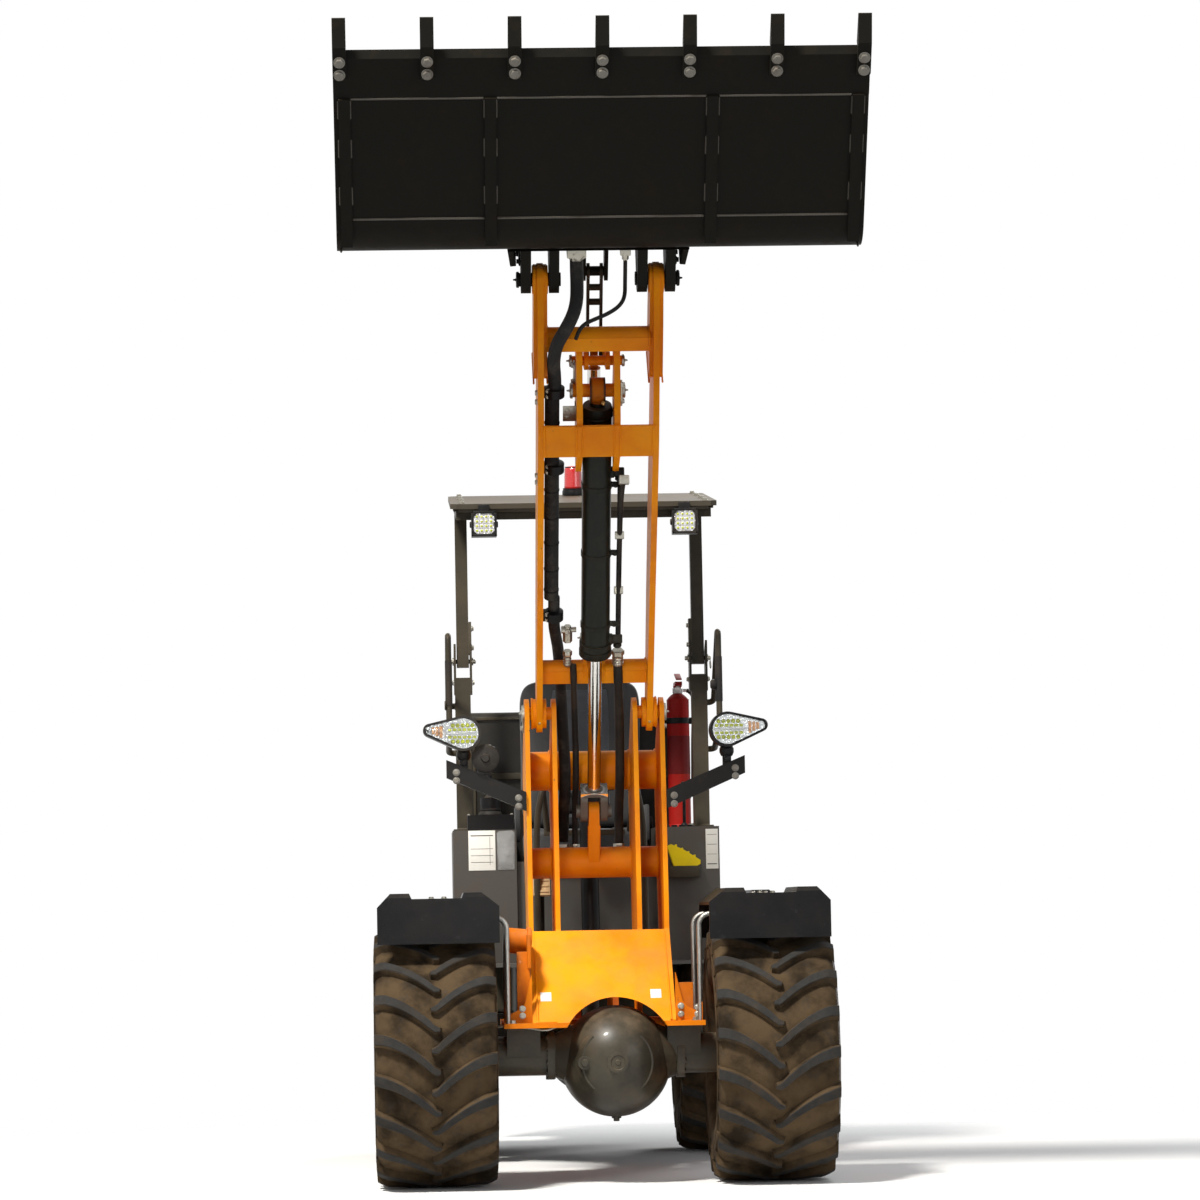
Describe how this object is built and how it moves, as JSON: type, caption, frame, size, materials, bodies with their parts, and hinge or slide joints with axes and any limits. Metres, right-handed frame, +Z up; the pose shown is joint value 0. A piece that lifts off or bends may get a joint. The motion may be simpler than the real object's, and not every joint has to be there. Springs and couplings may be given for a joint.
{
  "type": "wheel loader",
  "caption": "Compact articulated wheel loader with a raised lift arm, toothed bucket, linkage cylinders, open operator's place under a folding two-post canopy, and hinged hood.",
  "frame": {"origin": "on the ground, below the middle of the whole machine", "axes": "+Z up, the machine's front faces -Y, +X is the machine's left side"},
  "size_m": [1.66, 4.2427, 3.6395],
  "materials": {
    "yellow_paint": "semi-gloss",
    "khaki_paint": "matte",
    "dark_steel": "worn matte",
    "axle_paint": "matte",
    "black_plastic": "matte",
    "hood_plastic": "satin",
    "tyre_rubber": "matte",
    "rim_paint": "satin",
    "chrome_rod": "polished",
    "cylinder_paint": "satin",
    "roof_paint": "matte",
    "lamp_body": "gloss",
    "seat_cover": "matte",
    "hose_rubber": "matte",
    "red_paint": "gloss",
    "floor_steel": "matte",
    "engine_iron": "rough"
  },
  "bodies": {
    "rear_frame": {"rear_chassis": "khaki_paint", "rear_axle": "axle_paint", "rear_fenders": "black_plastic", "counterweight": "khaki_paint", "engine_block": "engine_iron", "operator_platform": "floor_steel", "seat_cushion": "seat_cover", "seat_backrest": "seat_cover", "steering_column": "black_plastic", "steering_wheel": "black_plastic", "control_console": "black_plastic", "fire_extinguisher": "red_paint", "canopy_lower_posts": "khaki_paint", "tail_lamps": "lamp_body"},
    "front_frame": {"front_chassis": "khaki_paint", "front_axle": "axle_paint", "loader_tower": "yellow_paint", "front_fenders": "black_plastic", "front_brackets": "black_plastic", "headlamps": "lamp_body"},
    "lift_arm": {"lift_arm": "yellow_paint", "arm_hoses": "hose_rubber"},
    "lift_barrel": {"lift_barrel": "cylinder_paint"},
    "lift_rod": {"lift_rod": "chrome_rod"},
    "tilt_barrel": {"tilt_barrel": "cylinder_paint"},
    "tilt_rod": {"tilt_rod": "chrome_rod"},
    "tilt_lever": {"tilt_lever": "yellow_paint"},
    "tilt_link": {"tilt_link": "khaki_paint"},
    "bucket": {"coupler": "dark_steel", "bucket": "dark_steel", "bucket_teeth": "dark_steel"},
    "canopy": {"canopy_frame": "khaki_paint", "canopy_roof": "roof_paint", "roof_lamps": "lamp_body"},
    "hood": {"engine_hood": "hood_plastic"},
    "steering_barrel": {"steering_barrel": "cylinder_paint"},
    "steering_rod": {"steering_rod": "chrome_rod"},
    "front_left_wheel": {"front_left_tyre": "tyre_rubber", "front_left_rim": "rim_paint"},
    "front_right_wheel": {"front_right_tyre": "tyre_rubber", "front_right_rim": "rim_paint"},
    "rear_left_wheel": {"rear_left_tyre": "tyre_rubber", "rear_left_rim": "rim_paint"},
    "rear_right_wheel": {"rear_right_tyre": "tyre_rubber", "rear_right_rim": "rim_paint"}
  },
  "joints": [
    {"name": "articulation", "type": "hinge", "parent": "rear_frame", "child": "front_frame", "pos_m": [0, 0.161, 0.5], "axis": [0, 0, 1], "range_deg": [-40, 40]},
    {"name": "front_left_wheel_spin", "type": "hinge", "parent": "front_frame", "child": "front_left_wheel", "pos_m": [0.555, -0.804, 0.425], "axis": [1, 0, 0], "continuous": true},
    {"name": "front_right_wheel_spin", "type": "hinge", "parent": "front_frame", "child": "front_right_wheel", "pos_m": [-0.555, -0.804, 0.425], "axis": [1, 0, 0], "continuous": true},
    {"name": "rear_left_wheel_spin", "type": "hinge", "parent": "rear_frame", "child": "rear_left_wheel", "pos_m": [0.555, 1.126, 0.425], "axis": [1, 0, 0], "continuous": true},
    {"name": "rear_right_wheel_spin", "type": "hinge", "parent": "rear_frame", "child": "rear_right_wheel", "pos_m": [-0.555, 1.126, 0.425], "axis": [1, 0, 0], "continuous": true},
    {"name": "arm_lift", "type": "hinge", "parent": "front_frame", "child": "lift_arm", "pos_m": [0, -0.554, 1.57], "axis": [-1, 0, 0], "range_deg": [-115, 2]},
    {"name": "lift_barrel_swing", "type": "hinge", "parent": "lift_arm", "child": "lift_barrel", "pos_m": [0, -1.2903, 2.58113], "axis": [1, 0, 0], "range_deg": [-16, 1]},
    {"name": "lift_rod_slide", "type": "slide", "parent": "lift_barrel", "child": "lift_rod", "axis": [0, 0.5513, -0.8343], "range_m": [-0.53, 0.012]},
    {"name": "bucket_tilt", "type": "hinge", "parent": "lift_arm", "child": "bucket", "pos_m": [0, -1.46437, 2.91967], "axis": [1, 0, 0], "range_deg": [-59, 97]},
    {"name": "tilt_lever_swing", "type": "hinge", "parent": "lift_arm", "child": "tilt_lever", "pos_m": [0, -1.28944, 2.67821], "axis": [1, 0, 0], "range_deg": [-60, 98]},
    {"name": "tilt_link_swing", "type": "hinge", "parent": "tilt_lever", "child": "tilt_link", "pos_m": [0, -1.07693, 2.73515], "axis": [1, 0, 0], "range_deg": [-98, 60]},
    {"name": "tilt_barrel_swing", "type": "hinge", "parent": "lift_arm", "child": "tilt_barrel", "pos_m": [0, -0.64965, 1.8191], "axis": [1, 0, 0], "range_deg": [-3, 4]},
    {"name": "tilt_rod_slide", "type": "slide", "parent": "tilt_barrel", "child": "tilt_rod", "axis": [0, -0.4227, 0.9063], "range_m": [-0.19, 0.305]},
    {"name": "steering_barrel_swing", "type": "hinge", "parent": "rear_frame", "child": "steering_barrel", "pos_m": [0.19, 0.481, 0.48], "axis": [0, 0, 1], "range_deg": [-21, 21]},
    {"name": "steering_rod_slide", "type": "slide", "parent": "steering_barrel", "child": "steering_rod", "axis": [0, -1, 0], "range_m": [-0.14, 0.14]},
    {"name": "canopy_fold", "type": "hinge", "parent": "rear_frame", "child": "canopy", "pos_m": [0, 0.526, 1.812], "axis": [-1, 0, 0], "range_deg": [0, 84]},
    {"name": "hood_open", "type": "hinge", "parent": "rear_frame", "child": "hood", "pos_m": [0, 1.996, 1.01], "axis": [1, 0, 0], "range_deg": [-50, 0]}
  ],
  "couplings": [
    {"joint": "lift_barrel_swing", "follows": "arm_lift", "ratio": 0.128},
    {"joint": "lift_rod_slide", "follows": "arm_lift", "m_per_rad": 0.26},
    {"joint": "tilt_lever_swing", "follows": "bucket_tilt", "ratio": 1},
    {"joint": "tilt_link_swing", "follows": "bucket_tilt", "ratio": -1},
    {"joint": "tilt_barrel_swing", "follows": "bucket_tilt", "ratio": 0.022},
    {"joint": "tilt_rod_slide", "follows": "bucket_tilt", "m_per_rad": 0.177},
    {"joint": "steering_barrel_swing", "follows": "articulation", "ratio": 0.5},
    {"joint": "steering_rod_slide", "follows": "articulation", "m_per_rad": -0.186}
  ]
}
